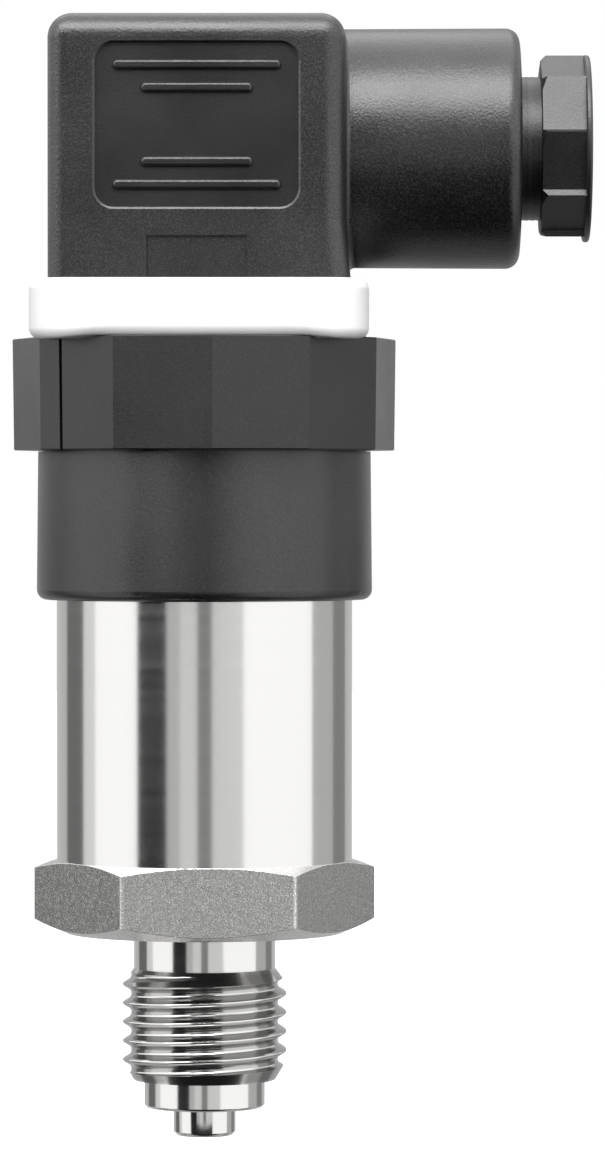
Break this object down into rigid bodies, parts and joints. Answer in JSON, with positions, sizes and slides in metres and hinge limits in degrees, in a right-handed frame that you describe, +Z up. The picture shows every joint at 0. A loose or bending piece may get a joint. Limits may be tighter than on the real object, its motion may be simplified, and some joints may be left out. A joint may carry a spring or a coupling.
{
  "type": "pressure transducer",
  "caption": "Screw-in pressure transducer with a hexagon, a centring-pin thread, a steel tube, a union collar and an angled plug with a cable gland.",
  "frame": {"origin": "centre of the hexagon's underside, on the instrument's axis", "axes": "+Z up the axis to the plug, +X along the cable gland's axis, outwards"},
  "size_m": [0.0518, 0.0344, 0.1001],
  "materials": {
    "turned_steel": "fine turned and ground faces",
    "tube_steel": "drawn tube, bright with fine rings",
    "sleeve_plastic": "satin moulding",
    "collar_plastic": "satin moulding",
    "plug_plastic": "fine spark-eroded grain",
    "nut_plastic": "fine grain",
    "inner_plastic": "moulded",
    "insert_plastic": "moulded",
    "white_rubber": "smooth moulded silicone",
    "black_rubber": "moulded",
    "white_ceramic": "sintered, unglazed",
    "board_laminate": "coated laminate",
    "chip_plastic": "moulded",
    "capacitor_ceramic": "sintered",
    "lead_insulation": "insulated wire",
    "tinned_copper": "tinned",
    "tinned_brass": "tinned",
    "brass": "turned",
    "zinc_steel": "zinc plated"
  },
  "bodies": {
    "root": {"process_connection": "turned_steel", "housing_tube": "tube_steel", "cell_clamp_ring": "turned_steel", "cell_seal": "black_rubber", "cell_diaphragm": "white_ceramic", "cell_body": "white_ceramic", "cell_pins": "tinned_copper", "board_holder": "inner_plastic", "circuit_board": "board_laminate", "board_chips": "chip_plastic", "board_capacitors": "capacitor_ceramic", "board_resistors": "chip_plastic", "output_leads": "lead_insulation", "head_sleeve": "sleeve_plastic", "tube_seal": "black_rubber", "base_seal": "black_rubber", "union_collar": "collar_plastic", "connector_base": "inner_plastic", "base_bush": "brass", "blade_1": "tinned_brass", "blade_2": "tinned_brass", "blade_3": "tinned_brass", "blade_earth": "tinned_brass", "base_gasket": "white_rubber", "plug_housing": "plug_plastic", "contact_insert": "insert_plastic", "socket_1": "tinned_brass", "socket_2": "tinned_brass", "socket_3": "tinned_brass", "socket_earth": "tinned_brass", "terminal_screws": "zinc_steel", "fixing_screw": "zinc_steel", "screw_seal": "black_rubber", "gland_seal": "black_rubber", "gland_washer": "inner_plastic", "gland_nut": "nut_plastic"}
  },
  "joints": []
}
